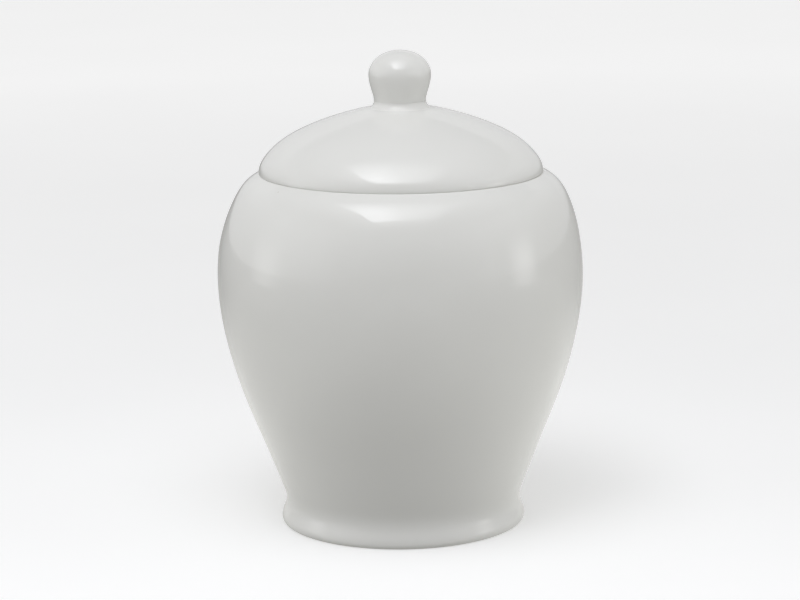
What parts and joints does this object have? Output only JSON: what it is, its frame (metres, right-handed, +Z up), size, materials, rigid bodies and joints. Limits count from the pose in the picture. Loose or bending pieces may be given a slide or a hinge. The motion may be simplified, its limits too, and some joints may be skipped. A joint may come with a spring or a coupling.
{
  "type": "lidded porcelain jar",
  "caption": "White glazed porcelain jar with a shouldered body on a flared foot and a lift-off domed lid with a ball knob.",
  "frame": {"origin": "centre of the ring the jar stands on, in the plane of the surface under it", "axes": "+Z up along the jar's axis, towards the knob; +X and +Y are free, because every piece is round about Z"},
  "size_m": [0.088, 0.088, 0.1148],
  "materials": {
    "glazed_porcelain": "glossy clear glaze over white porcelain"
  },
  "bodies": {
    "jar": {"jar_body": "glazed_porcelain"},
    "lid": {"lid_shell": "glazed_porcelain", "lid_knob": "glazed_porcelain"}
  },
  "joints": [
    {"name": "lid_lift", "type": "slide", "parent": "jar", "child": "lid", "axis": [0, 0, 1], "range_m": [0, 0.08]}
  ]
}
